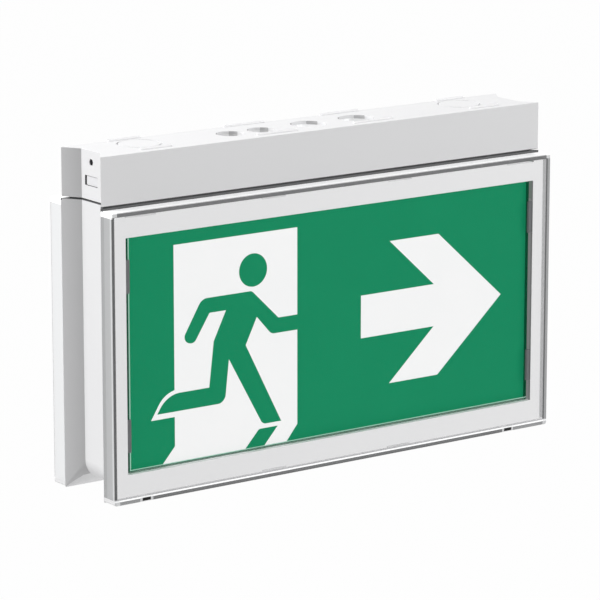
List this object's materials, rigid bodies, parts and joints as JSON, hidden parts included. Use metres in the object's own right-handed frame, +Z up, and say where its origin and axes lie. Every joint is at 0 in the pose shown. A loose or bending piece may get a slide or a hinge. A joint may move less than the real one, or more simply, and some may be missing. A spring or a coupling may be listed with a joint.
{
  "type": "emergency exit light",
  "caption": "Double-sided ceiling exit light: waisted white mounting housing and sign unit, escape pictogram behind a clear clip-on cover on each side.",
  "frame": {"origin": "centre of the middle cable entry in the housing's top face", "axes": "+Z up to the ceiling, +X along the sign to the right of the front legend, the front legend faces -Y"},
  "size_m": [0.346, 0.071, 0.2192],
  "materials": {
    "housing_white": "fine satin moulded white",
    "body_white": "fine satin moulded white",
    "frame_white": "satin white",
    "clip_white": "satin light grey",
    "latch_white": "satin white",
    "cover_clear": "polished clear",
    "plate_clear": "polished clear",
    "guide_clear": "polished clear",
    "print_green": "smooth translucent print",
    "opal": "opal, silky",
    "circuit_green": "solder-resist green",
    "circuit_white": "white solder resist",
    "led_yellow": "phosphor",
    "chip_black": "moulded epoxy",
    "ferrite": "dark ferrite",
    "capacitor_sleeve": "shrink sleeve",
    "connector_cream": "natural nylon",
    "terminal_grey": "natural nylon",
    "brass": "bright",
    "zinc_steel": "zinc plated",
    "black_steel": "black zinc plated",
    "spring_steel": "spring steel",
    "battery_wrap": "heat-shrink film"
  },
  "bodies": {
    "sign": {"mounting_housing": "housing_white", "cable_anchor_bars": "housing_white", "cable_anchor_screws": "zinc_steel", "terminal_block": "terminal_grey", "terminal_brass": "brass", "terminal_screws": "zinc_steel", "housing_connector": "connector_cream", "sign_body": "body_white", "light_guide": "guide_clear", "led_board": "circuit_white", "led_chips": "led_yellow", "led_board_screws": "zinc_steel", "driver_board": "circuit_green", "driver_board_screws": "zinc_steel", "driver_transformer": "ferrite", "driver_capacitors": "capacitor_sleeve", "driver_chips": "chip_black", "board_header": "connector_cream", "led_link": "chip_black", "battery_pack": "battery_wrap", "battery_clips": "spring_steel", "end_screws": "black_steel", "latch_spring_left": "spring_steel", "latch_spring_right": "spring_steel", "front_frame": "frame_white", "front_legend_plate": "plate_clear", "front_legend_green": "print_green", "front_legend_white": "opal", "front_legend_clips": "clip_white", "rear_frame": "frame_white", "rear_legend_plate": "plate_clear", "rear_legend_green": "print_green", "rear_legend_white": "opal", "rear_legend_clips": "clip_white"},
    "front_cover": {"front_cover": "cover_clear"},
    "rear_cover": {"rear_cover": "cover_clear"},
    "latch_left": {"latch_button_left": "latch_white"},
    "latch_right": {"latch_button_right": "latch_white"}
  },
  "joints": [
    {"name": "latch_left_press", "type": "slide", "parent": "sign", "child": "latch_left", "axis": [1, 0, 0], "range_m": [0, 0.0025], "stiffness_N_per_m": 600, "springref_m": -0.004, "deforming": ["latch_spring_left"]},
    {"name": "latch_right_press", "type": "slide", "parent": "sign", "child": "latch_right", "axis": [-1, 0, 0], "range_m": [0, 0.0025], "stiffness_N_per_m": 600, "springref_m": -0.004, "deforming": ["latch_spring_right"]},
    {"name": "front_cover_pull", "type": "slide", "parent": "sign", "child": "front_cover", "axis": [0, -1, 0], "range_m": [0, 0.03]},
    {"name": "rear_cover_pull", "type": "slide", "parent": "sign", "child": "rear_cover", "axis": [0, 1, 0], "range_m": [0, 0.03]}
  ]
}
